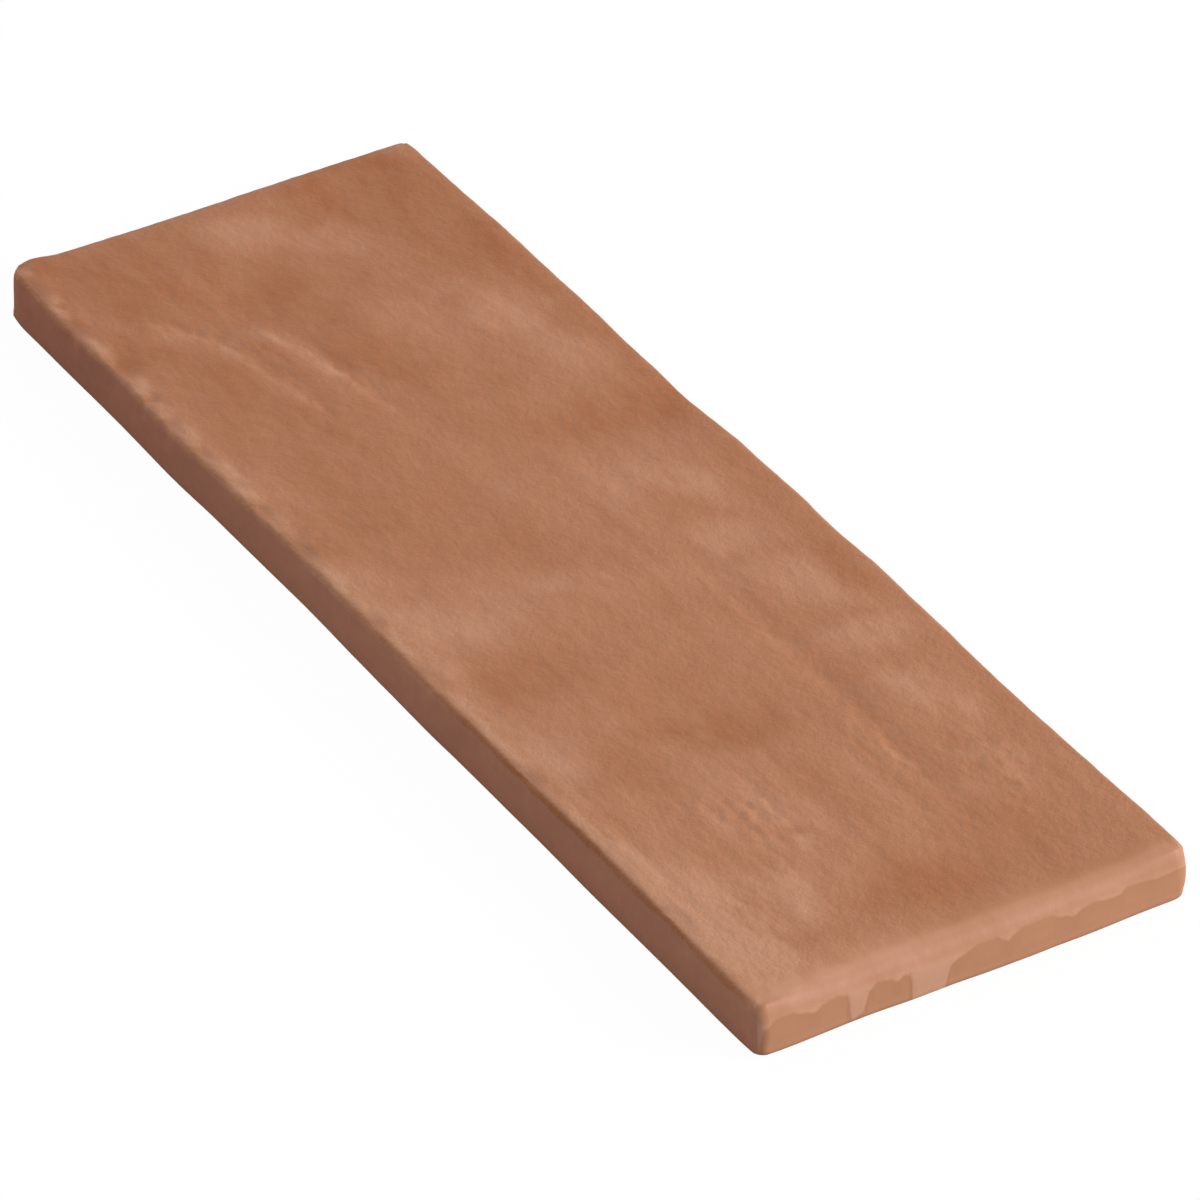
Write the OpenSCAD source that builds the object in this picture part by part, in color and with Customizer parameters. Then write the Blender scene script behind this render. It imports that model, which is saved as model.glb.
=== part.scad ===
// Terracotta tile: one slab of fired clay, pressed and smoothed by hand. Its sides and ends
// wander a little, its face has shallow hollows, its arrises are worn round, and one end is
// rolled over. X runs along the tile towards the rolled end, Y runs across it and Z is up.
// The origin is the middle of the flat back.

/* [Slab] */
// Length of the tile, from end to end
tile_length = 200; // [80:1:400]
// Width of the tile, from side to side
tile_width = 66.2; // [40:0.1:200]
// Thickness from the flat back to the highest part of the face
tile_thickness = 8.2; // [7.5:0.1:25]

/* [Edges] */
// Radius of the worn arris along the two sides and the plain end
arris_radius = 1.2; // [0.5:0.1:2]
// How far the rolled arris reaches in over the face
roll_reach = 3; // [1:0.1:6]
// How far the rolled arris comes down the end
roll_drop = 3.4; // [1:0.1:4]
// Length over which the roll fades out, before each corner
roll_fade = 10; // [4:0.5:18]
// Radii of the four corners seen from above, anticlockwise from the front of the plain end
corner_radii = [4.3, 1.9, 1.9, 1.9]; // [1.8:0.1:6]
// Radius of the foot, where the sides turn in to the back
foot_radius = 1; // [0.3:0.1:2]
// Radius of the foot at the tips of the corners
corner_foot = 1.4; // [0.3:0.1:3]

/* [Hand-made waves] */
// Depth of the deepest wave in the two sides
side_wave = 0.9; // [0:0.05:1.5]
// Depth of the deepest wave in the two ends
end_wave = 0.6; // [0:0.05:1.5]
// How far the bulging corner stands out from the plain end
corner_bulge = 1.1; // [0:0.1:2]
// How far the rolled end bellies out, between its foot and its arris
end_belly = 0.5; // [0:0.1:1.5]
// Depth of the deepest hollow in the face
face_hollow = 0.4; // [0:0.05:0.8]

/* [Hidden] */

// Waves along each edge: [place along it from -1 to 1, depth at the face, depth at the foot],
// with both depths as shares of the deepest wave
front_side = [
    [-1.00, 1.00, 0.00], [-0.96, 0.60, 0.20], [-0.80, 0.15, 0.35], [-0.66, 0.65, 0.35], [-0.52, 0.00, 0.00],
    [-0.36, 0.35, 0.45], [-0.15, 0.60, 0.65], [0.08, 0.45, 0.15], [0.18, 0.00, 0.10],
    [0.29, 0.50, 0.15], [0.44, 0.30, 0.25], [0.62, 1.00, 0.05], [0.76, 0.75, 0.20],
    [0.90, 0.20, 0.20], [1.00, 0.10, 0.30]
];
back_side = [
    [-1.00, 0.75, 0.80], [-0.72, 0.50, 0.60], [-0.45, 0.70, 0.55], [-0.20, 0.80, 0.80],
    [0.04, 0.00, 0.10], [0.12, 0.35, 0.35], [0.28, 0.00, 0.00], [0.44, 0.45, 0.30],
    [0.64, 0.80, 0.70], [0.84, 0.50, 0.60], [0.97, 0.25, 0.55], [1.00, 0.55, 0.50]
];
plain_end = [
    [-1.00, 0.30, 0.00], [-0.90, 0.00, 0.00], [-0.60, 0.55, 0.50], [-0.10, 0.85, 0.60],
    [0.28, 0.40, 0.60], [0.64, 0.00, 0.00], [1.00, 0.30, 0.40]
];
rolled_end = [
    [-1.00, 0.40, 0.50], [-0.88, 0.30, 0.35], [-0.48, 0.50, 0.85], [-0.26, 0.40, 0.45],
    [-0.10, 0.40, 0.50], [0.10, 0.20, 0.10], [0.30, 0.00, 0.00], [0.40, 0.20, 0.20],
    [0.50, 0.20, 0.00], [0.80, 0.50, 0.50], [0.93, 0.60, 0.55], [1.00, 0.90, 0.00]
];
// Stretch of the plain end over which the bulging corner dies away
bulge_full = -0.89;
bulge_gone = -0.76;
// Hollows in the face: [place along, place across, half length, half width, depth as a share]
hollows = [
    [-0.90, 0.60, 0.22, 0.9, 0.7], [-0.72, -0.10, 0.16, 0.7, 0.9], [-0.46, 0.05, 0.20, 0.6, 0.4],
    [-0.22, 0.65, 0.16, 0.8, 0.9], [-0.10, -0.30, 0.26, 0.8, 0.5], [0.02, 0.75, 0.12, 0.5, 0.3],
    [0.30, 0.40, 0.24, 0.4, 0.6], [0.44, -0.20, 0.18, 0.7, 0.8], [0.66, 0.55, 0.14, 0.6, 0.5],
    [0.88, 0.20, 0.16, 1.1, 0.9]
];

// Cells of the surface along and across, with the corner cells among them
cells_along = 76;
cells_across = 26;
corner_cells = 3;
// Least radius left at a corner inside its arris and its foot
corner_room = 0.3;
// Steps round the foot, up the wall and round the arris
foot_steps = 2;
wall_steps = 3;
arris_steps = 4;

half_length = tile_length / 2;
half_width = tile_width / 2;
edge_count = 2 * (cells_along + cells_across);

// Shares from 0 to 1, with a soft start and end
function ease(share) = (1 - cos(180 * min(1, max(0, share)))) / 2;
function blend(low, high, share) = low + (high - low) * share;

// Depth of a wave at a place along an edge, and at a level from 0 at the foot to 1 at the face
function wave(knots, place, level, k = 0) =
    k < len(knots) - 2 && place > knots[k + 1].x
        ? wave(knots, place, level, k + 1)
        : let (
            share = ease((place - knots[k].x) / (knots[k + 1].x - knots[k].x)),
            face_depth = blend(knots[k].y, knots[k + 1].y, share),
            foot_depth = blend(knots[k].z, knots[k + 1].z, share)
        ) blend(foot_depth, face_depth, level);

// How deep the face lies below its highest level, from all the hollows, as a share
function hollow(x, y) = min(1, max([
    for (h = hollows)
        let (away = norm([(x / half_length - h[0]) / h[2], (y / half_width - h[1]) / h[3]]))
        h[4] * (1 - ease(away))
]));

// Moves a point of the true slab to where the hand-made one has it
function by_hand(p) =
    let (
        along = p.x / half_length,
        across = p.y / half_width,
        level = max(0, p.z) / tile_thickness,
        front = side_wave * wave(front_side, along, level),
        back = side_wave * wave(back_side, along, level),
        bulge = corner_bulge * ease((across - bulge_full) / (bulge_gone - bulge_full)),
        plain = end_wave * wave(plain_end, across, level) + bulge,
        belly = end_belly * (1 - sin(180 * level)),
        rolled = end_wave * wave(rolled_end, across, level) + belly
    ) [
        p.x + blend(plain, -rolled, (1 + along) / 2),
        p.y + blend(front, -back, (1 + across) / 2),
        p.z - face_hollow * hollow(p.x, p.y) * level
    ];

// The corners anticlockwise from the front of the plain end, each with room for its arris and foot
corner_signs = [[-1, -1], [1, -1], [1, 1], [-1, 1]];
least_radius = corner_room + max(arris_radius, foot_radius, corner_foot);
outer_radii = [for (r = corner_radii) max(r, least_radius)];
function corner_core(c) = [
    corner_signs[c].x * (half_length - outer_radii[c]),
    corner_signs[c].y * (half_width - outer_radii[c])
];

// The edge cells in the same order, each as [core, way out, radius about the core, share of the
// roll]. Sides are numbered like the corners they start from, so the rolled end is side 1.
edge_cells = [
    for (side = [0 : 3])
        let (count = side % 2 == 0 ? cells_along : cells_across)
            for (k = [0 : count - 1])
                let (
                    next = (side + 1) % 4,
                    share = min(1, max(0, (k - corner_cells) / (count - 2 * corner_cells))),
                    past = min(0, k - corner_cells) + max(0, k - count + corner_cells),
                    turn = 90 * (side - 1) + 45 * past / corner_cells,
                    off_corner = min(share, 1 - share) * tile_width
                ) [
                    blend(corner_core(side), corner_core(next), share),
                    [cos(turn), sin(turn)],
                    blend(outer_radii[side], outer_radii[next], share),
                    side == 1 ? ease(off_corner / roll_fade) : 0
                ]
];

// One ring of the skin, in from the outline by the turns of the foot and the arris. Level 0 is
// where the foot ends and level 1 is where the arris starts.
function ring(foot_turn, level, arris_turn) = [
    for (cell = edge_cells)
        let (
            out = cell[1],
            reach = blend(arris_radius, roll_reach, cell[3]),
            drop = blend(arris_radius, roll_drop, max(0, out.x)),
            foot = blend(foot_radius, corner_foot, 2 * abs(out.x * out.y)),
            inset = foot * (1 - sin(foot_turn)) + reach * (1 - cos(arris_turn)),
            height = blend(foot, tile_thickness - drop, level)
                - foot * cos(foot_turn) + drop * sin(arris_turn),
            flat = cell[0] + out * (cell[2] - inset)
        ) [flat.x, flat.y, height]
];

// The first ring lies below the back, to be cut off with it
rings = concat(
    [[for (p = ring(0, 0, 0)) [p.x, p.y, -foot_radius]]],
    [for (s = [1 : foot_steps]) ring(90 * s / foot_steps, 0, 0)],
    [for (s = [1 : wall_steps]) ring(90, s / wall_steps, 0)],
    [for (s = [1 : arris_steps]) ring(90, 1, 90 * s / arris_steps)]
);
rim = rings[len(rings) - 1];
rim_start = (len(rings) - 1) * edge_count;

// Number of the point at a crossing of the face's lines, in the rim and among all the points
function rim_index(i, j) =
    j == 0 ? i
    : i == cells_along ? cells_along + j
    : j == cells_across ? 2 * cells_along + cells_across - i
    : (edge_count - j) % edge_count;
function face_index(i, j) =
    i == 0 || j == 0 || i == cells_along || j == cells_across
        ? rim_start + rim_index(i, j)
        : rim_start + edge_count + (i - 1) * (cells_across - 1) + j - 1;

// Points inside the face, spread evenly between the rim's own points
function rim_point(i, j) = rim[rim_index(i, j)];
function along_rim(j, share) = blend(rim_point(0, j), rim_point(cells_along, j), share);
face_points = [
    for (i = [1 : cells_along - 1], j = [1 : cells_across - 1])
        let (share_x = i / cells_along, share_y = j / cells_across)
            blend(rim_point(i, 0), rim_point(i, cells_across), share_y)
            + along_rim(j, share_x)
            - blend(along_rim(0, share_x), along_rim(cells_across, share_x), share_y)
];

skin_points = concat([for (r = rings, p = r) p], face_points, [[0, 0, -foot_radius]]);

skin_faces = concat(
    // The underside, fanned out from its middle
    [for (k = [0 : edge_count - 1]) [len(skin_points) - 1, k, (k + 1) % edge_count]],
    // The foot, the walls and the arris
    [
        for (r = [0 : len(rings) - 2], k = [0 : edge_count - 1], half = [0, 1])
            let (
                low = r * edge_count + k,
                low_next = r * edge_count + (k + 1) % edge_count,
                high = low + edge_count,
                high_next = low_next + edge_count
            ) half == 0 ? [low, high, high_next] : [low, high_next, low_next]
    ],
    // The face
    [
        for (i = [0 : cells_along - 1], j = [0 : cells_across - 1], half = [0, 1])
            half == 0
                ? [face_index(i, j), face_index(i, j + 1), face_index(i + 1, j + 1)]
                : [face_index(i, j), face_index(i + 1, j + 1), face_index(i + 1, j)]
    ]
);

// The clay below the back, which is cut off flat
module below_back() {
    translate([-tile_length, -tile_width, -2 * foot_radius])
        cube([2 * tile_length, 2 * tile_width, 2 * foot_radius]);
}

module tile_body() {
    color("#b0765a")
        difference() {
            polyhedron(points = [for (p = skin_points) by_hand(p)], faces = skin_faces, convexity = 4);
            below_back();
        }
}

tile_body();
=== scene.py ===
import math
import bpy
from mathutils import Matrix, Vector, noise


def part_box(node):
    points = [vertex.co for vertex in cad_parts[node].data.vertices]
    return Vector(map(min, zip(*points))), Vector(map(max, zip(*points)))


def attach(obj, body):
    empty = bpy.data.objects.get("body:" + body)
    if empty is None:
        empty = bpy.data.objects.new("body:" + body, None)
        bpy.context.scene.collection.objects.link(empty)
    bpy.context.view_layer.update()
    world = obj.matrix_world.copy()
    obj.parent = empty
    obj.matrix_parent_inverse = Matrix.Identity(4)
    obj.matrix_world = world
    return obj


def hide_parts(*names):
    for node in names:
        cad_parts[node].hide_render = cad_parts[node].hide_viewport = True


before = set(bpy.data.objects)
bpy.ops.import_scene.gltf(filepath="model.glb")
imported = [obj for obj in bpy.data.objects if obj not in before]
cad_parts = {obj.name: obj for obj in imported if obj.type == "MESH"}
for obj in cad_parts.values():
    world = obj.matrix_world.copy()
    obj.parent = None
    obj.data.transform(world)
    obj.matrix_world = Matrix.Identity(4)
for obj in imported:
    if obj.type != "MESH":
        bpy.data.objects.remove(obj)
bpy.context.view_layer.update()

mm = 0.001  # one millimetre in the scene's metres
seed = 7  # of all the noise
noise.seed_set(seed)


def linearColour(hexText):
    # sRGB hex to the linear values that sockets want
    parts = [int(hexText[i:i + 2], 16) / 255 for i in (1, 3, 5)]
    return tuple(c / 12.92 if c <= 0.04045 else ((c + 0.055) / 1.055) ** 2.4 for c in parts) + (1.0,)


def addNode(tree, kind, settings=None, inputs=None, links=None):
    # settings are the node's own, inputs are socket values, links are {socket: (node, its output)}
    node = tree.nodes.new(kind)
    for name, value in (settings or {}).items():
        setattr(node, name, value)
    for key, value in (inputs or {}).items():
        node.inputs[key].default_value = value
    for key, (source, output) in (links or {}).items():
        tree.links.new(source.outputs[output], node.inputs[key])
    return node


def addObject(name, data):
    thing = bpy.data.objects.new(name, data)
    bpy.context.scene.collection.objects.link(thing)
    return thing


def mix(low, high, share):
    return low + (high - low) * share


def ease(share):
    # a soft start and a soft end
    return (1 - math.cos(math.pi * min(1, max(0, share)))) / 2


def towards(azimuth, elevation):
    # azimuth in degrees from -Y round to +X
    turn, lift = math.radians(azimuth), math.radians(elevation)
    return Vector((math.sin(turn) * math.cos(lift), -math.cos(turn) * math.cos(lift), math.sin(lift)))


# The slab that is drawn onto the clay form: even cells, with finer ones round its edges
slab = {
    "arris": 1.2 * mm,
    "rollReach": 3.0 * mm,
    "rollDrop": 3.4 * mm,
    "rollFade": 10 * mm,
    "foot": 1.0 * mm,
    "corner": 1.9 * mm,
    "backMargin": 4 * mm,
    "cellsAlong": 330,
    "cellsAcross": 190,
    "cornerCells": 5,
    "footSteps": 3,
    "wallSteps": 11,
    "arrisSteps": 9,
}


def sideLines(half, cells, settings):
    # places along a side, finer in the corners
    count, radius = settings["cornerCells"], settings["corner"]
    lines = []
    for k in range(cells + 1):
        if k <= count:
            lines.append(-half + radius * math.sin(math.pi / 2 * k / count))
        elif k >= cells - count:
            lines.append(half - radius * math.sin(math.pi / 2 * (cells - k) / count))
        else:
            lines.append(mix(radius - half, half - radius, (k - count) / (cells - 2 * count)))
    return lines


def buildSlab(name, low, high, settings):
    # rings of quads up the edge, a grid over the face and one flat back
    centre, half = (low + high) / 2, (high - low) / 2
    along, across = settings["cellsAlong"], settings["cellsAcross"]
    linesX = sideLines(half.x, along, settings)
    linesY = sideLines(half.y, across, settings)
    rim = [(i, 0) for i in range(along)] + [(along, j) for j in range(across)]
    rim += [(i, across) for i in range(along, 0, -1)] + [(0, j) for j in range(across, 0, -1)]
    limit = half - Vector((1, 1, 0)) * settings["corner"]
    edge = []
    for i, j in rim:
        core = Vector((max(-limit.x, min(limit.x, linesX[i])), max(-limit.y, min(limit.y, linesY[j]))))
        out = (Vector((linesX[i], linesY[j])) - core).normalized()
        roll = 0
        if core.x > limit.x - 0.01 * mm:
            roll = ease((limit.y - abs(core.y)) / settings["rollFade"])
        edge.append((core, out, roll))
    points, faces, starts = [], [], []

    def addRing(footTurn, level, arrisTurn, margin=0.0):
        starts.append(len(points))
        for core, out, roll in edge:
            reach = mix(settings["arris"], settings["rollReach"], roll)
            drop = mix(settings["arris"], settings["rollDrop"], max(0, out.x))
            inset = margin + settings["foot"] * (1 - math.sin(footTurn))
            inset += reach * (1 - math.cos(arrisTurn))
            height = mix(settings["foot"], 2 * half.z - drop, level)
            height += drop * math.sin(arrisTurn) - settings["foot"] * math.cos(footTurn)
            flat = core + out * (settings["corner"] - inset)
            points.append((centre.x + flat.x, centre.y + flat.y, low.z + height))

    quarter = math.pi / 2
    addRing(0, 0, 0, settings["backMargin"])
    for s in range(settings["footSteps"] + 1):
        addRing(quarter * s / settings["footSteps"], 0, 0)
    for s in range(settings["wallSteps"]):
        addRing(quarter, (s + 1) / settings["wallSteps"], 0)
    for s in range(settings["arrisSteps"]):
        addRing(quarter, 1, quarter * (s + 1) / settings["arrisSteps"])
    count = len(rim)
    for a, b in zip(starts, starts[1:]):
        for k in range(count):
            n = (k + 1) % count
            faces.append((a + k, a + n, b + n, b + k))
    faces.append(tuple(reversed(range(count))))
    index = {cell: starts[-1] + k for k, cell in enumerate(rim)}
    for i in range(1, along):
        shareX = (1 + linesX[i] / half.x) / 2
        for j in range(1, across):
            shareY = (1 + linesY[j] / half.y) / 2
            x = mix(points[index[0, j]][0], points[index[along, j]][0], shareX)
            y = mix(points[index[i, 0]][1], points[index[i, across]][1], shareY)
            index[i, j] = len(points)
            points.append((x, y, high.z))
    for i in range(along):
        for j in range(across):
            faces.append((index[i, j], index[i + 1, j], index[i + 1, j + 1], index[i, j + 1]))
    mesh = bpy.data.meshes.new(name)
    mesh.from_pydata(points, [], faces)
    mesh.shade_smooth()
    return addObject(name, mesh)


tileLow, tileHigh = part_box("tile_body")
tile = buildSlab("glazed_tile", tileLow, tileHigh, slab)
print("slab built,", len(tile.data.polygons), "faces")


# The glaze's own paler and darker clouds, with painted sheen where the satin face would catch the light and
# painted shade where it would turn away, the far half painted darker. Each cloud is (x, y, half length,
# half width, turn in degrees, strength), in millimetres on the face.
glazeCloudsAndLight = {
    "wander": 2.0,
    "wanderSize": 9.0,
    "ragged": 0.8,
    "raggedSize": 3.5,
    "spots": [
        # the far third: two pale patches and what runs between them
        (-53, 22, 10, 8, 20, 0.7), (-42, 23, 11, 7, 15, 0.5), (-63, 17.5, 5, 4, 40, 0.35),
        (-50, 31, 42, 5, 0, -0.3), (-57, 9, 14, 6, 5, 0.35), (-81, 10, 6, 9, -35, 0.6),
        (-88.5, 1, 7, 10, -25, 0.7), (-94, 0, 5, 10, 0, 0.2), (-92, 22, 20, 17, 0, -0.4),
        (-69, 27, 15, 9, 0, -0.4), (-97, 14, 4, 12, 0, -0.3), (-60, -1, 26, 7, 6, -0.3),
        (-72, -8, 9, 9, -20, -0.2), (-88, -19, 18, 17, 0, -0.3), (-64, -23, 22, 10, 0, -0.12),
        (-50, -28, 20, 6, 0, -0.3), (-99, -29, 9, 8, 0, -0.4), (-73, -13, 7, 4, 20, -0.25),
        (-72, -26, 8, 3, 20, -0.2), (-70, -29, 14, 4, 0, -0.25), (-98, 30, 6, 6, 0, 0.3),
        (-24, 30, 14, 6, 0, -0.3), (-92, 0, 64, 62, 0, -0.35), (-52, -16, 20, 11, 0, -0.2),
        (-71, -21, 12, 3.4, 36, 0.15), (-56, -8.4, 15, 3, 12, 0.3), (-52, -14.8, 14, 3, 10, 0.3),
        (-56, 18, 10, 3, 0, 0.2), (-84, -30, 12, 4, 0, -0.2), (96, 6, 5, 12, 0, 0.15),
        (20, 29, 14, 4, 0, -0.15), (-60, 29, 9, 3, 0, -0.2), (-64, -11, 9, 2.5, 12, -0.2),
        (-40, -28, 6, 3, 0, -0.15), (-39, 11, 4, 6, 0, -0.2), (-47, -2.6, 7, 2.4, 9, 0.3),
        # the middle: a dark patch at the back and a pale band that comes forward
        (-23, 22, 10, 16, -10, -0.45), (-33, 5, 34, 12, 5, -0.25), (-30, -16, 44, 20, 0, -0.3),
        (-17, 3, 20, 6, 10, 0.25), (-10, 11, 9, 6, 0, 0.35), (-3, -7, 7, 8, 0, -0.25),
        (-18, -24, 6, 12, 0, -0.2), (8, -4, 28, 5, 62, 0.3), (8, -21, 9, 11, -15, 0.55),
        (-2, -28, 16, 6, 10, 0.5), (24, -20, 9, 17, -5, -0.4), (38, -6, 14, 12, 0, -0.1),
        (3, -9, 4, 5, 0, -0.2), (42, -13, 5, 6, 0, -0.25), (1, 19, 5, 8, 0, -0.2),
        (-14, -28, 6, 4, 0, -0.2), (8, -28, 6, 4, 0, -0.15),
        # drawn-out pale patches along the back side
        (-5, 21, 13, 6, 36, 0.55), (9, 20, 9, 6, 60, 0.5), (23, 21, 14, 6, 34, 0.6),
        (38, 22.5, 9, 6, 70, 0.65), (53, 22, 14, 5.5, 20, 0.8), (72, 23.5, 10, 4.5, 25, 0.5),
        (51, 20.5, 8, 4, 10, 0.15), (59, 23.5, 8, 4, 15, 0.35), (70, 27, 6, 3, 10, 0.25),
        (76, 17, 5, 6, -20, 0.3), (64, 20, 4, 3, 0, -0.35), (36, 11, 30, 2, 0, 0.1),
        (62, 11.2, 14, 1.8, 0, 0.3), (24, 29, 12, 4, 0, -0.4), (-6, 29, 22, 4, 0, -0.25),
        # the near third: combed patches, painted dark shade and the pale corner's painted sheen
        (47, -4, 7, 11, -15, -0.45), (88.5, 0, 7, 15, 0, -0.33), (86, 14, 14, 9, 0, -0.25),
        (66, 0, 14, 2.5, 0, -0.15), (66, 6, 14, 3, 5, 0.3), (76, 5, 6, 4, 0, 0.3),
        (64, -11, 16, 11, 0, 0.45), (76, -9, 13, 10, 0, 0.3), (69, -10.2, 2.6, 3, 0, -0.6),
        (39, -16, 7, 6, 0, 0.15), (39, -27, 8, 7, 0, 0.55), (46, -21, 8, 9, 0, -0.18),
        (80, -20, 13, 9, 40, 0.85), (80, -29, 32, 8, 4, 0.85), (94, -28, 14, 12, 0, 0.75),
        (89.5, -22.5, 3, 7, 0, -0.3), (98, -14, 7, 16, 0, 0.5), (30, -30, 54, 5, 0, 0.4),
        (-40, -30, 22, 4, 5, 0.25), (60, -25, 14, 9, 0, 0.2), (80, -27, 7, 8, 0, 0.3),
        (80, -24, 7, 9, 0, 0.25),
    ],
}

# The same for painted highlights along the front arris and on the lit banks of the far drags, with a few
# painted dark spots
paintedHighlightsAndShade = {
    "wander": 0.7,
    "wanderSize": 3.0,
    "ragged": 1.2,
    "raggedSize": 1.4,
    "spots": [
        (-97, -31.2, 2.4, 2.0, 0, 0.9), (-87, -31.1, 5, 2.1, 0, 1.1), (-74, -31.2, 5, 2.0, 0, 1.1),
        (-63, -31.1, 4, 2.0, 0, 1.0), (-56, -31.2, 3.6, 1.9, 0, 0.9), (-49, -31.2, 4, 1.9, 0, 0.9),
        (-36, -31.1, 8, 1.9, 0, 0.9), (-24, -31, 6, 1.8, 0, 0.7), (-8, -31, 10, 1.9, 0, 0.9),
        (8, -31, 7, 1.8, 0, 0.7), (30, -31, 14, 1.6, 0, 0.7), (60, -31, 18, 1.6, 0, 0.7),
        (86, -31, 12, 1.8, 0, 0.6), (-69, -29.6, 3.6, 3.2, 0, -0.2), (-80.5, -31, 3, 1.8, 0, -0.2),
        (-64, -9.3, 7, 1.6, 24, 0.45), (-54, -6.8, 9, 1.6, 13, 0.55), (-44, -4.7, 8, 1.5, 9, 0.35),
        (-73, -20.4, 8, 1.6, 40, 0.4), (-64, -16.3, 7, 1.7, 14, 0.5), (-52, -13.8, 10, 1.5, 9, 0.35),
        (-66, -12.4, 3, 3, -10, 0.3), (-71, -22, 4, 2.4, 20, 0.3), (-60, -10.8, 9, 0.9, 14, -0.3),
    ],
}


def cloudAt(place, settings):
    # the sum of the clouds at a place in millimetres. Each is full in its middle fifth and fades
    # out at its border, which wanders, and the sum is ragged along the tile.
    drift = noise.noise_vector(place / settings["wanderSize"]) * settings["wander"]
    drift += noise.noise_vector(place / settings["wanderSize"] * 3) * settings["wander"] / 2
    x, y = place.x + drift.x, place.y + drift.y
    total = 0
    for cx, cy, length, width, turn, strength in settings["spots"]:
        c, s = math.cos(math.radians(turn)), math.sin(math.radians(turn))
        u, v = (x - cx) * c + (y - cy) * s, (y - cy) * c - (x - cx) * s
        total += strength * (1 - ease(1.25 * math.hypot(u / length, v / width) - 0.25))
    drawnOut = Vector((place.x / 3, place.y, place.z)) / settings["raggedSize"]
    ragged = settings["ragged"] * (1 if total > 0 else 0.5)
    return total * (1 + ragged * noise.fractal(drawnOut, 0.7, 2.0, 4))


def storeField(mesh, name, valueAt):
    # one value per point of the mesh, from its place in millimetres
    field = mesh.attributes.new(name, "FLOAT", "POINT")
    field.data.foreach_set("value", [valueAt(point.co / mm) for point in mesh.vertices])


# The coat over the rolled end, paler than the face as painted sheen, painted lighter low on the end wall
# and darker above it as painted light and shade; and the front arris, painted dark as painted shade. Places
# and widths are in millimetres.
coating = {
    "strength": 0.55,
    "start": 96,
    "fade": 2,
    "waverSize": 6,
    "wallStart": 97.8,
    "wallFade": 1.2,
    # painted light low on the end wall and painted shade above it
    "lowLightTop": 6.6,
    "lowLightFade": 2,
    "wallShade": 0.25,
    "cloudsEnd": 97,
    "cloudsFade": 2,
    "cloudsLost": 0.8,
    # painted shade along the front arris
    "arrisShadeStrength": 1.3,
    "arrisShadeSide": -32.1,
    "arrisShadeWidth": 0.6,
    "arrisShadeStart": -10,
    "arrisShadeGrowth": 60,
    "arrisShadeEnd": 98,
    "arrisShadeFade": 3,
}


def bloomSheenAndShadeAt(place, coat):
    waver = noise.noise(place / coat["waverSize"])
    # the coat's paleness is painted sheen
    pale = coat["strength"] * ease((place.x - coat["start"] + waver) / coat["fade"])
    lowLight = ease((coat["lowLightTop"] - place.z) / coat["lowLightFade"])
    pale += ease((place.x - coat["wallStart"]) / coat["wallFade"]) * (lowLight - coat["wallShade"])
    # painted shade where the front arris rounds down into the shaded side, growing towards the near end
    arrisShade = coat["arrisShadeStrength"] * ease((coat["arrisShadeSide"] - place.y) / coat["arrisShadeWidth"])
    arrisShade *= ease((place.x - coat["arrisShadeStart"]) / coat["arrisShadeGrowth"])
    arrisShade *= ease((coat["arrisShadeEnd"] - place.x) / coat["arrisShadeFade"])
    kept = 1 - coat["cloudsLost"] * ease((place.x - coat["cloudsEnd"]) / coat["cloudsFade"])
    return pale - arrisShade + kept * cloudAt(place, glazeCloudsAndLight) + cloudAt(place, paintedHighlightsAndShade)


# This field mixes the glaze's own clouds with painted sheen and painted shade.
storeField(tile.data, "bloomSheenAndShade", lambda place: bloomSheenAndShadeAt(place, coating))
print("clouds laid")

# Patches where the slip wrinkled as it was smoothed, laid out like the clouds
wrinkles = {
    "wander": 2.0,
    "wanderSize": 6.0,
    "ragged": 0.5,
    "raggedSize": 3.0,
    "spots": [
        (73, 21, 8, 7, 0, 1.0), (80, 18, 5, 4, 0, 0.6), (75, 7, 5, 4, 0, 0.6), (64, 22, 5, 4, 0, 0.7),
        (64, -11, 9, 6, 0, 0.8), (66, -10.5, 4, 3.5, 0, 0.7), (60, -15, 7, 4, 0, 0.5),
        (-66, -14, 3, 7, 0, 0.5), (-83, 9, 6, 5, 0, 0.3), (38, -15, 7, 7, 0, 0.4),
        (60, 11.5, 16, 2.0, 0, 1.3), (28, 11.7, 20, 1.5, 0, 0.8), (-56, -6, 13, 3.5, 12, 0.9),
        (-70, -19, 11, 3.5, 36, 1.0), (-52, -13, 13, 3, 10, 0.6),
    ],
}
storeField(tile.data, "wrinkle", lambda place: cloudAt(place, wrinkles))

# Dents pressed into the front arris by the fingers, with depths in millimetres
dents = {
    "bottom": 3.5,
    "fade": 4,
    "wander": 0.8,
    "wanderSize": 5.0,
    "ragged": 0.3,
    "raggedSize": 2.5,
    "spots": [
        (-93, -32, 3.5, 2.2, 0, 0.35), (-80.5, -32, 4, 2.2, 0, 0.35), (-69, -31, 5, 4, 0, 0.35),
        (-59.5, -32, 2.2, 1.8, 0, 0.3), (-52.5, -32, 2.2, 1.8, 0, 0.3), (-44, -32, 2.4, 1.8, 0, 0.3),
        (-28, -32, 3, 2, 0, 0.3), (-17, -32, 4, 2, 0, 0.3), (1, -32, 4, 2, 0, 0.25),
        (17, -32, 4, 2, 0, 0.3), (41, -32, 5, 2, 0, 0.3), (78, -32, 5, 2, 0, 0.25),
    ],
}


def dentAt(place, settings):
    return cloudAt(place, settings) * ease((place.z - settings["bottom"]) / settings["fade"])


storeField(tile.data, "dent", lambda place: dentAt(place, dents))

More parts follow.
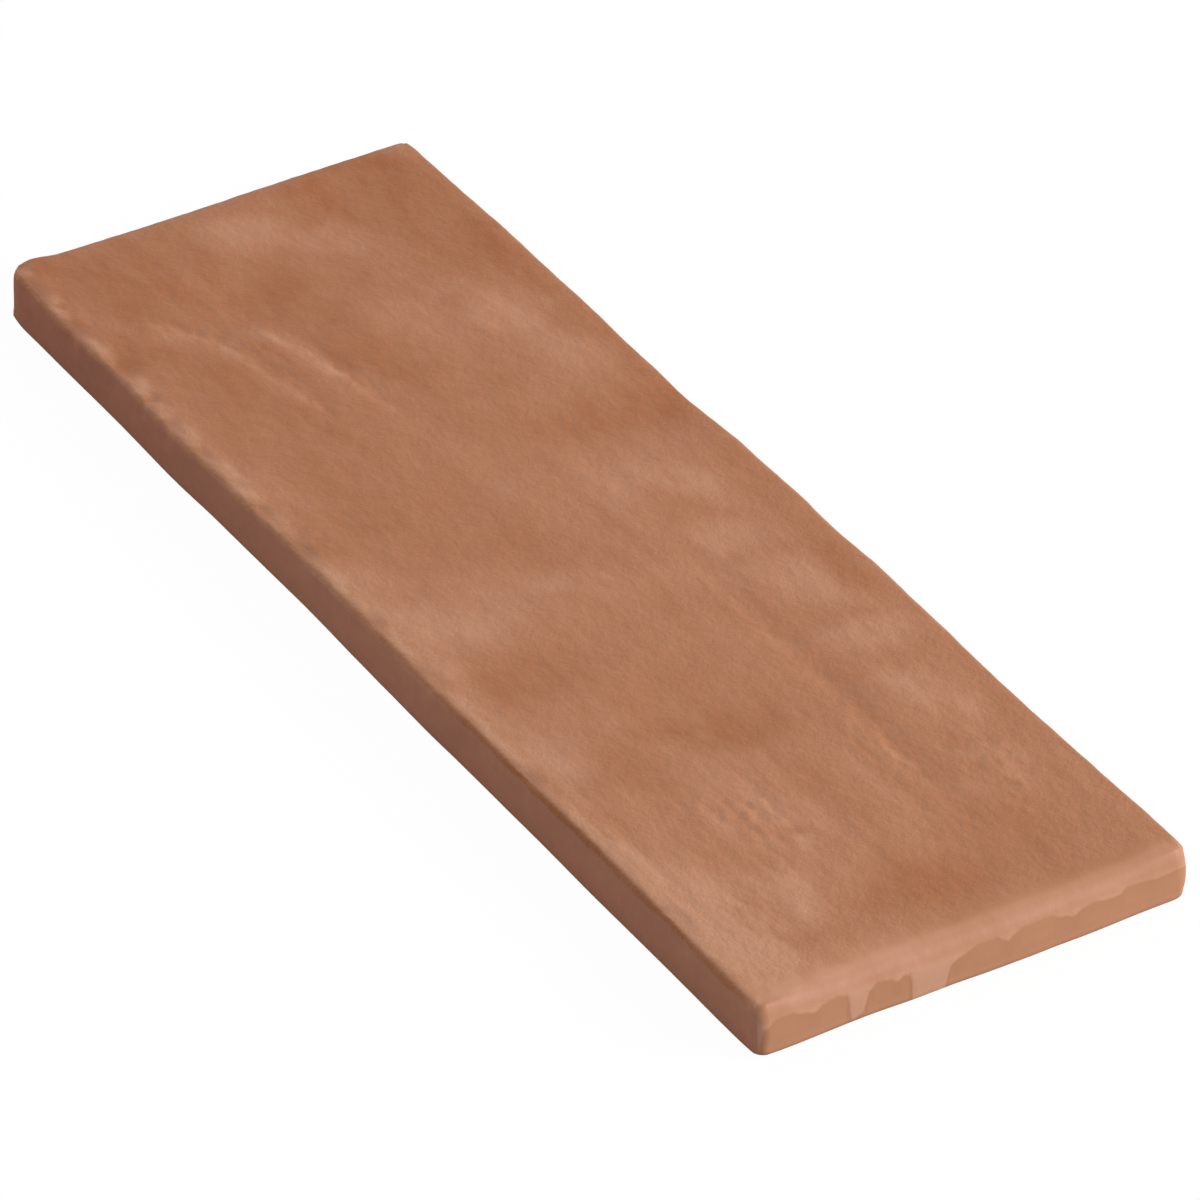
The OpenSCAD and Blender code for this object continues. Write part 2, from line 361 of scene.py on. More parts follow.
# The rolled end's far corner bulges halfway up and is rounded off at its foot, in millimetres
bulges = {
    "fullFrom": 3.5,
    "top": 8,
    "topFade": 4,
    "footShare": 0.8,
    "footTop": 2.4,
    "wander": 0.0,
    "wanderSize": 5.0,
    "ragged": 0.0,
    "raggedSize": 5.0,
    "spots": [(97.5, 35, 6, 4.2, 0, 0.42)],
}


def bulgeAt(place, settings):
    share = ease(place.z / settings["fullFrom"])
    share *= ease((settings["top"] - place.z) / settings["topFade"])
    share -= settings["footShare"] * ease((settings["footTop"] - place.z) / settings["footTop"])
    return share * cloudAt(place, settings)


storeField(tile.data, "bulge", lambda place: bulgeAt(place, bulges))

# Where the glaze ends, in millimetres: on the rolled end along a line of (y, height), with drips,
# and elsewhere just under the arris
lap = {
    "endFrom": 97,
    "endFace": 99.9,
    "endHalf": 32.8,
    "sideHeights": (7.6, 7.2),
    "sideFrom": -10,
    "sideFade": 60,
    "waver": 0.4,
    "waverSize": 4,
    "line": [
        (-33, 0), (-32, 4.8), (-30, 6.0), (-28, 6.0), (-26, 5.3), (-24.5, 4.7), (-23, 5.6),
        (-21, 5.9), (-19.6, 5.5), (-18.5, 0.8), (-17.2, 1.2), (-16.1, 4.9), (-15, 5.7), (-13, 5.4),
        (-12, 4.6), (-11, 5.3), (-10.2, 5.0), (-9.3, 0), (-5, 0), (-3.8, 4.2), (-2.6, 4.8), (-1, 5.4),
        (0, 5.9), (3, 5.8), (4, 5.1), (4.6, 4.6), (5.5, 5.4), (7, 5.9), (11, 6.0), (13, 5.2),
        (14.7, 4.6), (16, 5.3), (17.5, 5.6), (20, 5.2), (21.5, 5.1), (23, 5.9), (25, 5.8), (28, 5.4),
        (31, 5.6), (33, 5.4),
    ],
}


def lapAt(place, settings):
    # how far a point lies above the glaze's border. The distance is measured across the border,
    # so that steep stretches of it are as soft as level ones.
    if place.x < settings["endFrom"] or abs(place.y) > settings["endHalf"]:
        along = ease((place.x - settings["sideFrom"]) / settings["sideFade"])
        border = mix(*settings["sideHeights"], along)
        waver = settings["waver"] * noise.noise(place / settings["waverSize"])
        return place.z + waver - border * ease(settings["endFace"] - place.x)
    line = settings["line"]
    for (low, lowHeight), (high, highHeight) in zip(line, line[1:]):
        if low <= place.y <= high:
            share = (place.y - low) / (high - low)
            slope = (highHeight - lowHeight) / (high - low) * math.sin(math.pi * share) * math.pi / 2
            return (place.z - mix(lowHeight, highHeight, ease(share))) / math.hypot(1, slope)
    return place.z


storeField(tile.data, "lap", lambda place: lapAt(place, lap))
print("fields laid")

# Drag marks, broad ones of fingers and fine ones of a wire and a comb: the width and then
# (x, y, depth) along each, in millimetres. The strokes between them are drawn-out noise.
drags = {
    "step": 1.0 * mm,
    "strokeTurn": -4,
    "strokeStretch": (0.12, 1, 1),
    "broad": [
        (2.3, [(-46, 13.4, 0), (-30, 13.2, 0.1), (0, 12.8, 0.12), (16, 12.9, 0.15), (40, 12.8, 0.21),
               (58, 12.8, 0.28), (70, 12.6, 0.22), (79, 12.5, 0.08), (88, 12.3, 0)]),
        (2.0, [(-76, -12, 0), (-67, -7.8, 0.2), (-56, -5.2, 0.22), (-43, -3.4, 0.15), (-30, -2.8, 0)]),
        (2.0, [(-84, -26, 0), (-76, -20.5, 0.15), (-69, -16.8, 0.22), (-60, -14.2, 0.2),
               (-48, -12.2, 0.14), (-32, -10.6, 0)]),
        (1.4, [(40, -2.2, 0), (52, -3, 0.08), (64, -3.2, 0.1), (80, -2.8, 0.05), (88, -3, 0)]),
        (1.4, [(-30, -22, 0), (-8, -25.4, 0.08), (10, -26, 0.08), (24, -25, 0)]),
        (1.2, [(28, -29, 0), (52, -28, 0.08), (76, -28.4, 0.1), (92, -29, 0)]),
        (1.2, [(-40, 7, 0), (-20, 6.4, 0.05), (6, 7, 0.06), (30, 7.2, 0)]),
    ],
    "fine": [
        (0.9, [(-6, 12.2, 0), (14, 12.1, 0.03), (32, 12.1, 0.03), (50, 12.2, 0.05), (68, 12, 0.06),
               (78, 12, 0)]),
        (0.7, [(-76, -9.8, 0), (-66, -6.6, 0.04), (-54, -4.2, 0.03), (-42, -2.8, 0)]),
        (0.6, [(-74, -13, 0), (-66, -9.4, 0.06), (-54, -7.2, 0.06), (-42, -6, 0)]),
        (0.6, [(-78, -19, 0), (-70, -15.2, 0.05), (-60, -13, 0.05), (-50, -11.6, 0)]),
        (0.6, [(-78, -23.6, 0), (-70, -19.4, 0.06), (-60, -16.8, 0.06), (-50, -15.2, 0)]),
        (0.7, [(50, -8.4, 0), (60, -8.4, 0.1), (70, -8.6, 0.07), (82, -8.8, 0)]),
        (0.6, [(54, -11, 0), (62, -11.1, 0.08), (70, -11, 0.06), (80, -10.8, 0)]),
        (0.7, [(52, -13.4, 0), (60, -13.4, 0.11), (72, -13.4, 0.09), (84, -13.2, 0)]),
        (0.6, [(56, -15.8, 0), (64, -15.7, 0.08), (72, -15.8, 0.08), (78, -16, 0)]),
        (0.8, [(52, -18.6, 0), (62, -18.4, 0.06), (74, -18.8, 0.06), (84, -19.2, 0)]),
        (0.8, [(52, 8.8, 0), (64, 8.4, 0.07), (74, 8.6, 0.07), (80, 8.8, 0)]),
    ],
}


def buildDrags(name, marks, height):
    # one open line of points per mark, with its width and depth kept on the points
    points, edges, widths, depths = [], [], [], []
    for width, path in marks:
        for k, (x, y, depth) in enumerate(path):
            if k:
                edges.append((len(points) - 1, len(points)))
            points.append((x * mm, y * mm, height))
            widths.append(width * mm)
            depths.append(depth * mm)
    mesh = bpy.data.meshes.new(name)
    mesh.from_pydata(points, edges, [])
    for field, values in (("width", widths), ("depth", depths)):
        mesh.attributes.new(field, "FLOAT", "POINT").data.foreach_set("value", values)
    return addObject(name, mesh)


broadDrags = buildDrags("broad_drags", drags["broad"], tileHigh.z)
fineDrags = buildDrags("fine_drags", drags["fine"], tileHigh.z)

# Relief of the hand-smoothed clay, in metres, with one seed for all its noise
relief = {
    "Smoothing": 14,
    "Wobble": 2.0 * mm,
    "Wobble Size": 3.5 * mm,
    "Swell Size": 11 * mm,
    "Swell Height": 0.6 * mm,
    "Wrinkle Size": 1.9 * mm,
    "Wrinkle Height": 0.92 * mm,
    "Dimple Size": 2.4 * mm,
    "Dimple Height": 0.155 * mm,
    "Stroke Size": 1.8 * mm,
    "Stroke Height": 0.09 * mm,
    "Glaze Thickness": 0.05 * mm,
    "Lap Softness": 0.25,
    "Roll Start": 95 * mm,
    "Roll End": 98 * mm,
    "Roll Relief": 0.15,
    "Foot Start": 0.1 * mm,
    "Foot End": 1.5 * mm,
    "Seed": float(seed),
}


def handFinishTree(marks, values):
    tree = bpy.data.node_groups.new("handFinish", "GeometryNodeTree")
    sockets = [("Geometry", "Geometry"), ("Clay Form", "Object")]
    sockets += [("Broad Drags", "Object"), ("Fine Drags", "Object"), ("Glaze", "Material")]
    sockets += [(name, "Int" if isinstance(value, int) else "Float") for name, value in values.items()]
    for name, kind in sockets:
        tree.interface.new_socket(name, in_out="INPUT", socket_type="NodeSocket" + kind)
    tree.interface.new_socket("Geometry", in_out="OUTPUT", socket_type="NodeSocketGeometry")
    given = addNode(tree, "NodeGroupInput")
    place = addNode(tree, "GeometryNodeInputPosition")

    # the slab goes to the nearest place on the clay form, and the form's flats are smoothed away
    form = addNode(tree, "GeometryNodeObjectInfo", links={"Object": (given, "Clay Form")})
    nearest = addNode(tree, "GeometryNodeProximity", {"target_element": "FACES"},
                      links={"Geometry": (form, "Geometry")})
    shift = addNode(tree, "ShaderNodeVectorMath", {"operation": "SUBTRACT"},
                    links={0: (nearest, "Position"), 1: (place, "Position")})
    soft = addNode(tree, "GeometryNodeBlurAttribute", {"data_type": "FLOAT_VECTOR"},
                   links={"Value": (shift, "Vector"), "Iterations": (given, "Smoothing")})
    drawn = addNode(tree, "GeometryNodeSetPosition",
                    links={"Geometry": (given, "Geometry"), "Offset": (soft, 0)})

    # drag marks: grooves with low banks along smooth paths, which wobble a little
    often = addNode(tree, "ShaderNodeMath", {"operation": "DIVIDE"}, {0: 1.0}, {1: (given, "Wobble Size")})
    shake = addNode(tree, "ShaderNodeTexNoise", {"noise_dimensions": "4D"}, {"Detail": 2.0},
                    {"Vector": (place, 0), "W": (given, "Seed"), "Scale": (often, 0)})
    evenShake = addNode(tree, "ShaderNodeVectorMath", {"operation": "SUBTRACT"}, {1: (0.5, 0.5, 0.5)},
                        {0: (shake, "Color")})
    scaledShake = addNode(tree, "ShaderNodeVectorMath", {"operation": "SCALE"},
                          links={"Vector": (evenShake, 0), "Scale": (given, "Wobble")})
    shaken = addNode(tree, "ShaderNodeVectorMath", {"operation": "MULTIPLY_ADD"}, {1: (1, 1, 0)},
                     {0: (scaledShake, 0), 2: (place, 0)})
    total = None
    for lot in ("Broad Drags", "Fine Drags"):
        paths = addNode(tree, "GeometryNodeObjectInfo", links={"Object": (given, lot)})
        lines = addNode(tree, "GeometryNodeMeshToCurve", links={"Mesh": (paths, "Geometry")})
        smooth = addNode(tree, "GeometryNodeCurveSplineType", {"spline_type": "CATMULL_ROM"},
                         links={"Curve": (lines, 0)})
        even = addNode(tree, "GeometryNodeResampleCurve", {"mode": "LENGTH"}, {"Length": marks["step"]},
                       {"Curve": (smooth, 0)})
        wires = addNode(tree, "GeometryNodeCurveToMesh", links={"Curve": (even, 0)})
        away = addNode(tree, "GeometryNodeProximity", {"target_element": "EDGES"},
                       links={"Geometry": (wires, 0), "Sample Position": (shaken, 0)})
        closest = addNode(tree, "GeometryNodeSampleNearest", {"domain": "POINT"},
                          links={"Geometry": (wires, 0), "Sample Position": (shaken, 0)})
        kept = {}
        for name in ("width", "depth"):
            field = addNode(tree, "GeometryNodeInputNamedAttribute", {"data_type": "FLOAT"}, {"Name": name})
            kept[name] = addNode(tree, "GeometryNodeSampleIndex",
                                 {"data_type": "FLOAT", "domain": "POINT"},
                                 links={"Geometry": (wires, 0), "Value": (field, "Attribute"),
                                        "Index": (closest, 0)})
        share = addNode(tree, "ShaderNodeMath", {"operation": "DIVIDE"},
                        links={0: (away, "Distance"), 1: (kept["width"], 0)})
        square = addNode(tree, "ShaderNodeMath", {"operation": "MULTIPLY"},
                         links={0: (share, 0), 1: (share, 0)})
        fall = addNode(tree, "ShaderNodeMath", {"operation": "POWER"}, {0: math.exp(-1)}, {1: (square, 0)})
        bank = addNode(tree, "ShaderNodeMath", {"operation": "MULTIPLY_ADD"}, {1: 0.5, 2: -1.0},
                       {0: (square, 0)})
        groove = addNode(tree, "ShaderNodeMath", {"operation": "MULTIPLY"},
                         links={0: (fall, 0), 1: (bank, 0)})
        pressed = addNode(tree, "ShaderNodeMath", {"operation": "MULTIPLY"},
                          links={0: (groove, 0), 1: (kept["depth"], 0)})
        if total:
            pressed = addNode(tree, "ShaderNodeMath", {"operation": "ADD"},
                              links={0: (total, 0), 1: (pressed, 0)})
        total = pressed

    # swells, wrinkles, dimples and long smoothing strokes: noise of four sizes, added up
    wrinkled = addNode(tree, "GeometryNodeInputNamedAttribute", {"data_type": "FLOAT"}, {"Name": "wrinkle"})
    swept = addNode(tree, "ShaderNodeVectorRotate", {"rotation_type": "Z_AXIS"},
                    {"Angle": math.radians(marks["strokeTurn"])}, {"Vector": (place, 0)})
    drawnOut = addNode(tree, "ShaderNodeVectorMath", {"operation": "MULTIPLY"}, {1: marks["strokeStretch"]},
                       {0: (swept, 0)})
    for name, detail, where in (("Swell", 1.0, place), ("Wrinkle", 2.0, place), ("Dimple", 1.0, place),
                                ("Stroke", 2.0, drawnOut)):
        scale = addNode(tree, "ShaderNodeMath", {"operation": "DIVIDE"}, {0: 1.0},
                        {1: (given, name + " Size")})
        grain = addNode(tree, "ShaderNodeTexNoise", {"noise_dimensions": "4D"}, {"Detail": detail},
                        {"Vector": (where, 0), "W": (given, "Seed"), "Scale": (scale, 0)})
        level = addNode(tree, "ShaderNodeMath", {"operation": "SUBTRACT"}, {1: 0.5}, {0: (grain, 0)})
        amount = addNode(tree, "ShaderNodeMath", {"operation": "MULTIPLY"},
                         links={0: (level, 0), 1: (given, name + " Height")})
        if name == "Wrinkle":
            amount = addNode(tree, "ShaderNodeMath", {"operation": "MULTIPLY"},
                             links={0: (amount, 0), 1: (wrinkled, 0)})
        total = addNode(tree, "ShaderNodeMath", {"operation": "ADD"}, links={0: (total, 0), 1: (amount, 0)})
    dented = addNode(tree, "GeometryNodeInputNamedAttribute", {"data_type": "FLOAT"}, {"Name": "dent"})
    total = addNode(tree, "ShaderNodeMath", {"operation": "MULTIPLY_ADD"}, {1: -mm},
                    {0: (dented, 0), 2: (total, 0)})

    # the rolled end is smoother than the face
    parts = addNode(tree, "ShaderNodeSeparateXYZ", links={"Vector": (place, 0)})
    inward = addNode(tree, "ShaderNodeMapRange", {"interpolation_type": "SMOOTHSTEP"}, {"To Min": 1.0},
                     {"Value": (parts, "X"), "From Min": (given, "Roll Start"),
                      "From Max": (given, "Roll End"), "To Max": (given, "Roll Relief")})
    total = addNode(tree, "ShaderNodeMath", {"operation": "MULTIPLY"},
                    links={0: (total, 0), 1: (inward, 0)})

    # the bare clay lies lower than the glaze
    lapped = addNode(tree, "GeometryNodeInputNamedAttribute", {"data_type": "FLOAT"}, {"Name": "lap"})
    under = addNode(tree, "ShaderNodeMath", {"operation": "MULTIPLY"}, {1: -1.0},
                    {0: (given, "Lap Softness")})
    sunk = addNode(tree, "ShaderNodeMapRange", {"interpolation_type": "SMOOTHSTEP"},
                   {"To Min": -1.0, "To Max": 0.0},
                   {"Value": (lapped, 0), "From Min": (under, 0), "From Max": (given, "Lap Softness")})
    total = addNode(tree, "ShaderNodeMath", {"operation": "MULTIPLY_ADD"},
                    links={0: (sunk, 0), 1: (given, "Glaze Thickness"), 2: (total, 0)})

    # the relief fades out towards the flat back, apart from the bulge
    above = addNode(tree, "ShaderNodeMapRange", {"interpolation_type": "SMOOTHSTEP"},
                    links={"Value": (parts, "Z"), "From Min": (given, "Foot Start"),
                           "From Max": (given, "Foot End")})
    faded = addNode(tree, "ShaderNodeMath", {"operation": "MULTIPLY"}, links={0: (total, 0), 1: (above, 0)})
    swollen = addNode(tree, "GeometryNodeInputNamedAttribute", {"data_type": "FLOAT"}, {"Name": "bulge"})
    height = addNode(tree, "ShaderNodeMath", {"operation": "MULTIPLY_ADD"}, {1: mm},
                     {0: (swollen, 0), 2: (faded, 0)})
    normal = addNode(tree, "GeometryNodeInputNormal")
    offset = addNode(tree, "ShaderNodeVectorMath", {"operation": "SCALE"},
                     links={"Vector": (normal, 0), "Scale": (height, 0)})
    marked = addNode(tree, "GeometryNodeSetPosition", links={"Geometry": (drawn, 0), "Offset": (offset, 0)})

    # nothing lies below the floor's level
    raised = addNode(tree, "ShaderNodeVectorMath", {"operation": "MAXIMUM"}, {1: (-1, -1, 0)},
                     {0: (place, 0)})
    standing = addNode(tree, "GeometryNodeSetPosition",
                       links={"Geometry": (marked, 0), "Position": (raised, 0)})
    real = addNode(tree, "GeometryNodeRealizeInstances", links={"Geometry": (standing, 0)})
    coated = addNode(tree, "GeometryNodeSetMaterial",
                     links={"Geometry": (real, 0), "Material": (given, "Glaze")})
    addNode(tree, "NodeGroupOutput", links={"Geometry": (coated, 0)})
    return tree


# Satin terracotta glaze: an even warm brown with a soft sheen, painted paler and pinker in some clouds and
# darker in others, partly as painted sheen and shade.
# Below its border and on the back, the fired clay is bare and matt. Spans are from where a change
# begins to where it is complete, and a stain is its size in millimetres, stretch and amount.
glazeLook = {
    "deep": "#975931",
    "pale": "#b88465",
    "coat": "#bb8a6f",
    "stains": [(2.2, (1.5, 1, 1), 0.6), (8, (2, 1, 1), 0.6), (6, (6, 1, 1), 0.8)],
    "clay": "#b38062",
    "sideClay": "#b37b63",
    # painted shade on the sides' clay, towards the far end and the foot
    "shadedSideClay": "#a66e58",
    # painted shade on the end's clay just below the glaze's border
    "lipShade": "#ab7a5c",
    "roughness": 0.5,
    "sheen": 0.22,
    "clayRoughness": 0.9,
    "claySheen": 0.1,
    "mottleSize": 1.8 * mm,
    "grainDepth": 0.34 * mm,
    "grainSpan": (94 * mm, 97 * mm),
    "grainLeft": 0.2,
    "clayGrainDepth": 0.05 * mm,
    "clayGrainStrength": 0.6,
    "coatSpan": (95.5 * mm, 98.5 * mm),
    "sideLightSpan": (-98 * mm, -5 * mm),
    "footSpan": (1 * mm, 3 * mm),
    "footShare": 0.65,
    "endSpan": (98 * mm, 99.3 * mm),
    "lipShadeSpan": (-2.6, -0.2),
    "borderSpan": (-0.3, 0.3),
    "backSpan": (0.3 * mm, 0.6 * mm),
}


def fromSpan(span):
    return {"From Min": span[0], "From Max": span[1]}


def satinGlazeMaterial(settings):
    material = bpy.data.materials.new("satinTerracottaGlaze")
    material.use_nodes = True
    tree = material.node_tree
    tree.nodes.clear()
    coords = addNode(tree, "ShaderNodeTexCoord")
    parts = addNode(tree, "ShaderNodeSeparateXYZ", links={"Vector": (coords, "Object")})
    # the glaze's clouds, with painted sheen and painted shade in them
    bloomSheenAndShade = addNode(tree, "ShaderNodeAttribute", {"attribute_name": "bloomSheenAndShade"})
    lapField = addNode(tree, "ShaderNodeAttribute", {"attribute_name": "lap"})

    # fine mottling, stains of some eight millimetres and long drawn-out streaks
    patchy = bloomSheenAndShade
    patchyOutput = "Fac"
    for size, stretch, amount in settings["stains"]:
        stretched = addNode(tree, "ShaderNodeMapping", {"vector_type": "TEXTURE"}, {"Scale": stretch},
                            {"Vector": (coords, "Object")})
        stain = addNode(tree, "ShaderNodeTexNoise", {},
                        {"Scale": 1 / (size * mm), "Detail": 4.0, "Roughness": 0.6},
                        {"Vector": (stretched, 0)})
        level = addNode(tree, "ShaderNodeMath", {"operation": "MULTIPLY_ADD"},
                        {1: amount, 2: -amount / 2}, {0: (stain, 0)})
        patchy = addNode(tree, "ShaderNodeMath", {"operation": "ADD"},
                         links={0: (patchy, patchyOutput), 1: (level, 0)})
        patchyOutput = 0
    share = addNode(tree, "ShaderNodeMapRange", {}, {"From Min": -1.0, "From Max": 1.1},
                    {"Value": (patchy, 0)})
    # the coat's colour on the rolled end is paler partly as painted sheen
    rolled = addNode(tree, "ShaderNodeMapRange", {}, fromSpan(settings["coatSpan"]),
                     {"Value": (parts, "X")})
    paleColour = addNode(tree, "ShaderNodeMix", {"data_type": "RGBA"},
                         {6: linearColour(settings["pale"]), 7: linearColour(settings["coat"])},
                         {0: (rolled, 0)})
    colour = addNode(tree, "ShaderNodeMix", {"data_type": "RGBA"}, {6: linearColour(settings["deep"])},
                     {0: (share, 0), 7: (paleColour, 2)})

    # a fine grain, which the coat over the rolled end nearly hides
    mottle = addNode(tree, "ShaderNodeTexNoise", {},
                     {"Scale": 1 / settings["mottleSize"], "Detail": 4.0, "Roughness": 0.66},
                     {"Vector": (coords, "Object")})
    fading = addNode(tree, "ShaderNodeMapRange", {},
                     {**fromSpan(settings["grainSpan"]), "To Min": 1.0, "To Max": settings["grainLeft"]},
                     {"Value": (parts, "X")})
    grain = addNode(tree, "ShaderNodeBump", {}, {"Distance": settings["grainDepth"]},
                    {"Height": (mottle, 0), "Strength": (fading, 0)})
    glaze = addNode(tree, "ShaderNodeBsdfPrincipled", {},
                    {"Roughness": settings["roughness"], "Specular IOR Level": settings["sheen"]},
                    {"Base Color": (colour, 2), "Normal": (grain, 0)})

    # the bare clay along the sides is painted darker and a little redder towards the far end and down at
    # the foot, as painted shade
    near = addNode(tree, "ShaderNodeMapRange", {"interpolation_type": "SMOOTHSTEP"},
                   fromSpan(settings["sideLightSpan"]), {"Value": (parts, "X")})
    foot = addNode(tree, "ShaderNodeMapRange", {},
                   {**fromSpan(settings["footSpan"]), "To Min": settings["footShare"], "To Max": 1.0},
                   {"Value": (parts, "Z")})
    sideLight = addNode(tree, "ShaderNodeMath", {"operation": "MULTIPLY"}, links={0: (near, 0), 1: (foot, 0)})
    speckled = addNode(tree, "ShaderNodeMath", {"operation": "ADD"}, links={0: (sideLight, 0), 1: (mottle, 0)})
    speckle = addNode(tree, "ShaderNodeMath", {"operation": "SUBTRACT"}, {1: 0.5}, {0: (speckled, 0)})
    sideColour = addNode(tree, "ShaderNodeMix", {"data_type": "RGBA", "clamp_factor": False},
                         {6: linearColour(settings["shadedSideClay"]), 7: linearColour(settings["sideClay"])},
                         {0: (speckle, 0)})

    # on the rolled end the clay is lighter, and painted darker just below the glaze's border as painted
    # shade under its lip
    ended = addNode(tree, "ShaderNodeMapRange", {}, fromSpan(settings["endSpan"]), {"Value": (parts, "X")})
    lipShade = addNode(tree, "ShaderNodeMapRange", {}, fromSpan(settings["lipShadeSpan"]),
                   {"Value": (lapField, "Fac")})
    endColour = addNode(tree, "ShaderNodeMix", {"data_type": "RGBA"},
                        {6: linearColour(settings["clay"]), 7: linearColour(settings["lipShade"])},
                        {0: (lipShade, 0)})
    clayColour = addNode(tree, "ShaderNodeMix", {"data_type": "RGBA"}, {},
                         {0: (ended, 0), 6: (sideColour, 2), 7: (endColour, 2)})
    clayBump = addNode(tree, "ShaderNodeBump", {},
                       {"Strength": settings["clayGrainStrength"], "Distance": settings["clayGrainDepth"]},
                       {"Height": (mottle, 0)})
    clay = addNode(tree, "ShaderNodeBsdfPrincipled", {},
                   {"Roughness": settings["clayRoughness"], "Specular IOR Level": settings["claySheen"]},
                   {"Base Color": (clayColour, 2), "Normal": (clayBump, 0)})

    # the glaze's border is soft over half a millimetre, and the back is bare
    border = addNode(tree, "ShaderNodeMapRange", {"interpolation_type": "SMOOTHSTEP"},
                     fromSpan(settings["borderSpan"]), {"Value": (lapField, "Fac")})
    body = addNode(tree, "ShaderNodeMapRange", {}, fromSpan(settings["backSpan"]), {"Value": (parts, "Z")})
    coated = addNode(tree, "ShaderNodeMath", {"operation": "MULTIPLY"},
                     links={0: (border, 0), 1: (body, 0)})
    both = addNode(tree, "ShaderNodeMixShader", links={0: (coated, 0), 1: (clay, 0), 2: (glaze, 0)})
    addNode(tree, "ShaderNodeOutputMaterial", links={"Surface": (both, 0)})
    return material


def bakeTree(piece, tree, values):
    # sets the tree's named inputs, evaluates it once and keeps the plain mesh
    modifier = piece.modifiers.new(tree.name, "NODES")
    modifier.node_group = tree
    for item in tree.interface.items_tree:
        if item.in_out == "INPUT" and item.name in values:
            modifier[item.identifier] = values[item.name]
    graph = bpy.context.evaluated_depsgraph_get()
    mesh = bpy.data.meshes.new_from_object(piece.evaluated_get(graph))
    piece.modifiers.clear()
    piece.data = mesh


finish = dict(relief)
finish["Clay Form"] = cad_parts["tile_body"]
finish["Broad Drags"] = broadDrags
finish["Fine Drags"] = fineDrags
finish["Glaze"] = satinGlazeMaterial(glazeLook)
bakeTree(tile, handFinishTree(drags, relief), finish)
bpy.data.objects.remove(broadDrags)
bpy.data.objects.remove(fineDrags)
print("hand finish applied,", len(tile.data.vertices), "points")

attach(tile, "root")
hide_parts("tile_body")

# A white floor that shows white to the camera and sends less light back up to the tile
studio = {
    "floorHalf": 3.0,
    "floorGap": 0.02 * mm,
    "floorWhite": 0.97,
    "paper": 0.95,
    "bounce": 0.52,
    "sky": 0.48,
    "keyAzimuth": 139,
    "keyElevation": 22,
    "keyDistance": 2.0,
    "keySize": 1.1,
    "keyPower": 44.0,
    "sheenAzimuth": 280,
    "sheenElevation": 37,
    "sheenDistance": 1.6,
    "sheenSize": 0.7,
    "sheenPower": 7.0,
}


def seenRays(tree):
    # 1 for rays that show the background: from the camera, in a reflection or through glass
    path = addNode(tree, "ShaderNodeLightPath")
    shown = addNode(tree, "ShaderNodeMath", {"operation": "ADD"},
                    links={0: (path, "Is Camera Ray"), 1: (path, "Is Glossy Ray")})
    return addNode(tree, "ShaderNodeMath", {"operation": "ADD", "use_clamp": True},
                   links={0: (shown, 0), 1: (path, "Is Transmission Ray")})


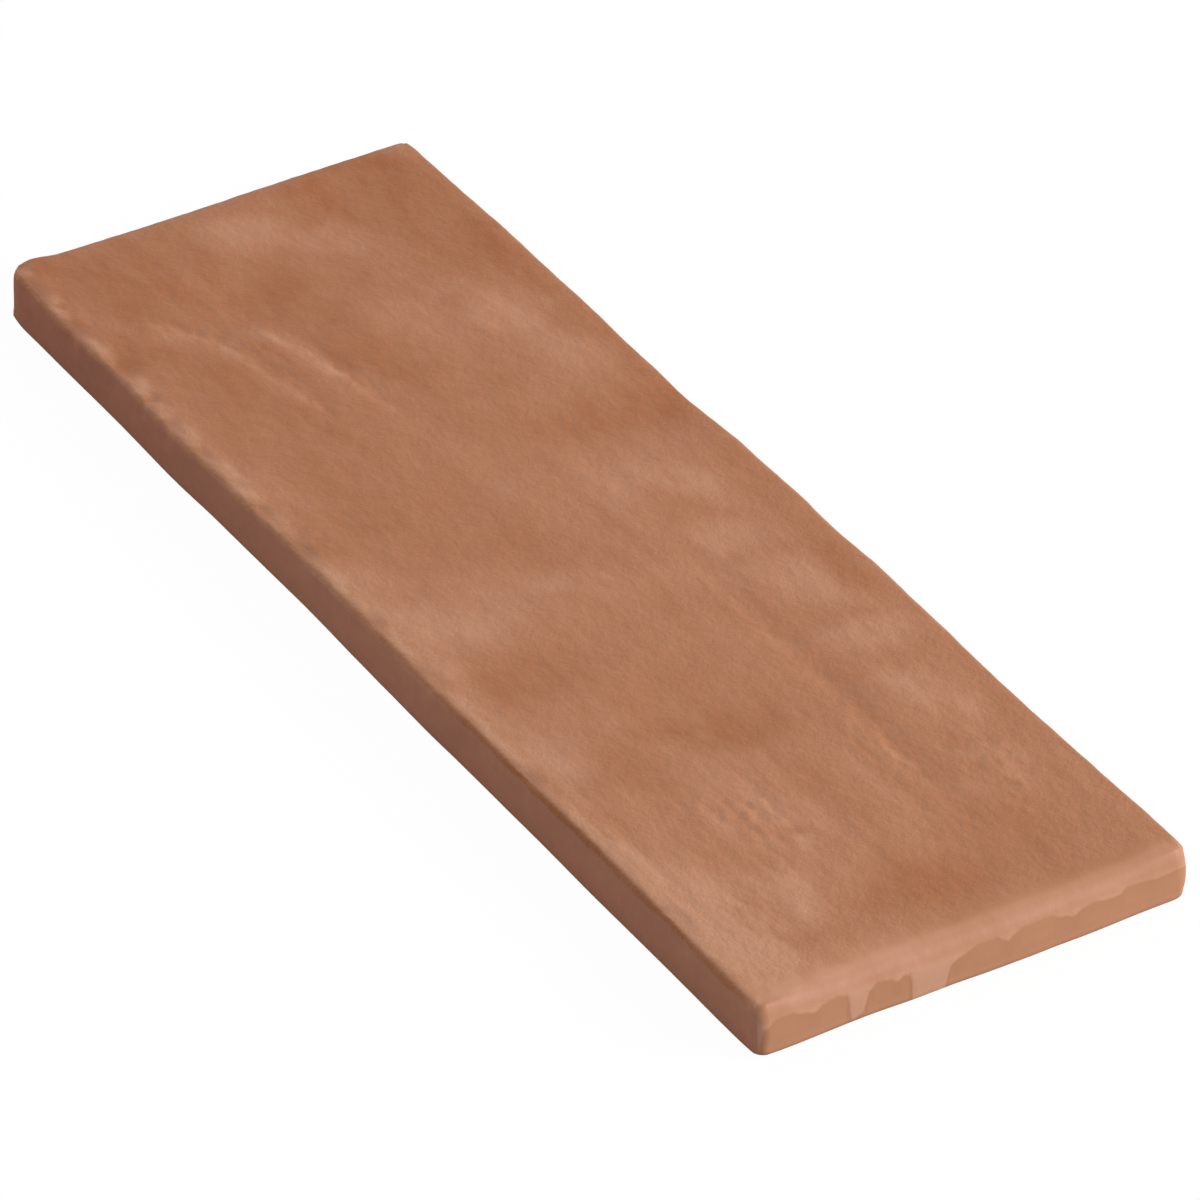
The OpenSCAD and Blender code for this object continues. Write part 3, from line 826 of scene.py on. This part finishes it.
def buildFloor(settings):
    half, level = settings["floorHalf"], -settings["floorGap"]
    corners = [(-half, -half, level), (half, -half, level), (half, half, level), (-half, half, level)]
    mesh = bpy.data.meshes.new("floor")
    mesh.from_pydata(corners, [], [(0, 1, 2, 3)])
    floor = addObject("floor", mesh)
    material = bpy.data.materials.new("whitePaperSweep")
    material.use_nodes = True
    tree = material.node_tree
    tree.nodes.clear()
    seen = seenRays(tree)
    bounce, paper = settings["bounce"], settings["paper"]
    colour = addNode(tree, "ShaderNodeMix", {"data_type": "RGBA"},
                     {6: (bounce, bounce, bounce, 1), 7: (paper, paper, paper, 1)}, {0: (seen, 0)})
    matt = addNode(tree, "ShaderNodeBsdfDiffuse", links={"Color": (colour, 2)})
    white = addNode(tree, "ShaderNodeEmission", {}, {"Strength": 1.0})
    part = addNode(tree, "ShaderNodeMath", {"operation": "MULTIPLY"}, {1: settings["floorWhite"]},
                   {0: (seen, 0)})
    both = addNode(tree, "ShaderNodeMixShader", links={0: (part, 0), 1: (matt, 0), 2: (white, 0)})
    addNode(tree, "ShaderNodeOutputMaterial", links={"Surface": (both, 0)})
    mesh.materials.append(material)
    return floor


def placeWorld(settings):
    world = bpy.data.worlds.new("studio")
    world.use_nodes = True
    tree = world.node_tree
    tree.nodes.clear()
    seen = seenRays(tree)
    level = addNode(tree, "ShaderNodeMapRange", {}, {"To Min": settings["sky"], "To Max": 1.0},
                    {"Value": (seen, 0)})
    sky = addNode(tree, "ShaderNodeBackground", {}, {"Color": (1, 1, 1, 1)}, {"Strength": (level, 0)})
    addNode(tree, "ShaderNodeOutputWorld", links={"Surface": (sky, 0)})
    bpy.context.scene.world = world


def placeLamp(name, settings):
    lamp = bpy.data.lights.new(name, "AREA")
    lamp.shape = "DISK"
    lamp.size = settings[name + "Size"]
    lamp.energy = settings[name + "Power"]
    back = towards(settings[name + "Azimuth"], settings[name + "Elevation"])
    holder = addObject(name, lamp)
    holder.location = back * settings[name + "Distance"]
    holder.rotation_euler = back.to_track_quat("Z", "Y").to_euler()


buildFloor(studio)
placeWorld(studio)
placeLamp("key", studio)
placeLamp("sheen", studio)
print("studio lit")

# A long lens from above, towards the rolled end and the front side
cameraSetup = {
    "azimuth": 58.65,
    "elevation": 35.40,
    "distance": 1.2659,
    "lens": 281.77,
    "sensor": 36,
    "clipStart": 0.05,
    "clipEnd": 20,
    "aim": (2.46 * mm, 3.04 * mm, -0.72 * mm),
}


def placeCamera(setup):
    back = towards(setup["azimuth"], setup["elevation"])
    camera = addObject("camera", bpy.data.cameras.new("camera"))
    camera.data.sensor_width = setup["sensor"]
    camera.data.lens = setup["lens"]
    camera.data.clip_start = setup["clipStart"]
    camera.data.clip_end = setup["clipEnd"]
    camera.location = Vector(setup["aim"]) + back * setup["distance"]
    camera.rotation_euler = back.to_track_quat("Z", "Y").to_euler()
    bpy.context.scene.camera = camera


placeCamera(cameraSetup)
bpy.context.scene.view_settings.view_transform = "Standard"
print("camera placed")
